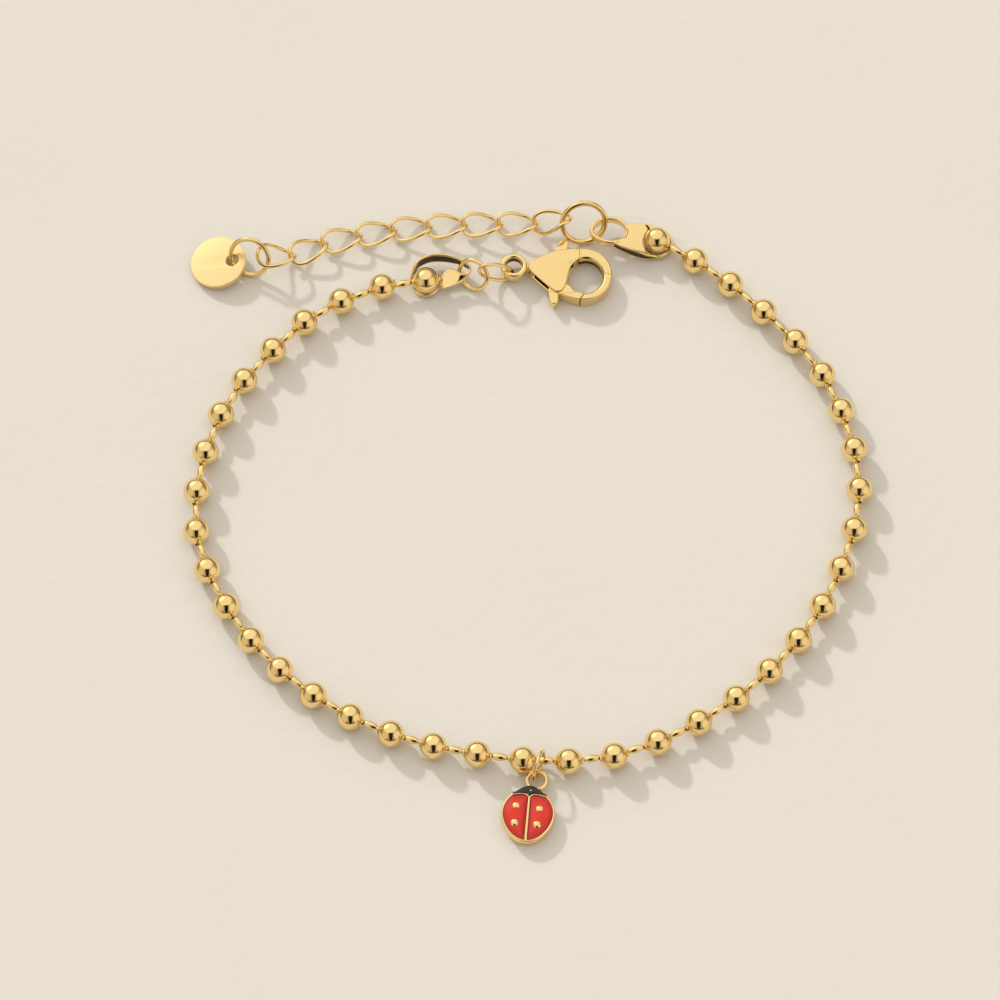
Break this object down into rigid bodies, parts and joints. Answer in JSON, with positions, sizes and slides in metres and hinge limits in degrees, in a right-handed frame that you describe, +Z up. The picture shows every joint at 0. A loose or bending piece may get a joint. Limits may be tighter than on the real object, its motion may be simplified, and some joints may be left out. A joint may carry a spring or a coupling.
{
  "type": "bead bracelet",
  "caption": "Bead bracelet lying open, with a lobster clasp, an extender chain ending in a round tag, and a ladybird charm hung from one link.",
  "frame": {"origin": "middle of the footprint, on the surface the bracelet lies on", "axes": "+Z up from the surface, +Y from the charm towards the clasp, +X to the right as seen from the charm"},
  "size_m": [0.064, 0.0646, 0.004],
  "materials": {
    "gold": "polished gold plate",
    "satin_gold": "satin gold plate",
    "red_enamel": "glossy enamel",
    "black_enamel": "glossy enamel"
  },
  "bodies": {
    "bracelet": {"bead_strand_1": "gold", "bead_strand_2": "gold", "bead_strand_3": "gold", "bead_strand_4": "gold", "bead_strand_5": "gold", "bead_strand_6": "gold", "bead_strand_7": "gold", "bead_strand_8": "gold", "left_end_cap": "gold", "right_end_cap": "gold", "clasp_ring": "gold", "clasp_link": "gold", "end_ring": "gold", "extender_link_1": "gold", "extender_link_2": "gold", "extender_link_3": "gold", "extender_link_4": "gold", "extender_link_5": "gold", "extender_link_6": "gold", "extender_link_7": "gold", "extender_link_8": "gold", "extender_link_9": "gold", "tag_ring": "gold", "tag_disc": "satin_gold", "charm_ring": "gold", "clasp_body": "gold", "clasp_pin": "gold", "charm_base": "gold", "enamel_left": "red_enamel", "enamel_right": "red_enamel", "enamel_head": "black_enamel"},
    "lever": {"clasp_lever": "gold"}
  },
  "joints": [
    {"name": "clasp_lever_hinge", "type": "hinge", "parent": "bracelet", "child": "lever", "pos_m": [0.00354, 0.0272, 0.00075], "axis": [0, 0, -1], "range_deg": [0, 24], "stiffness_Nm_per_rad": 0.002, "springref_deg": -20.05}
  ]
}
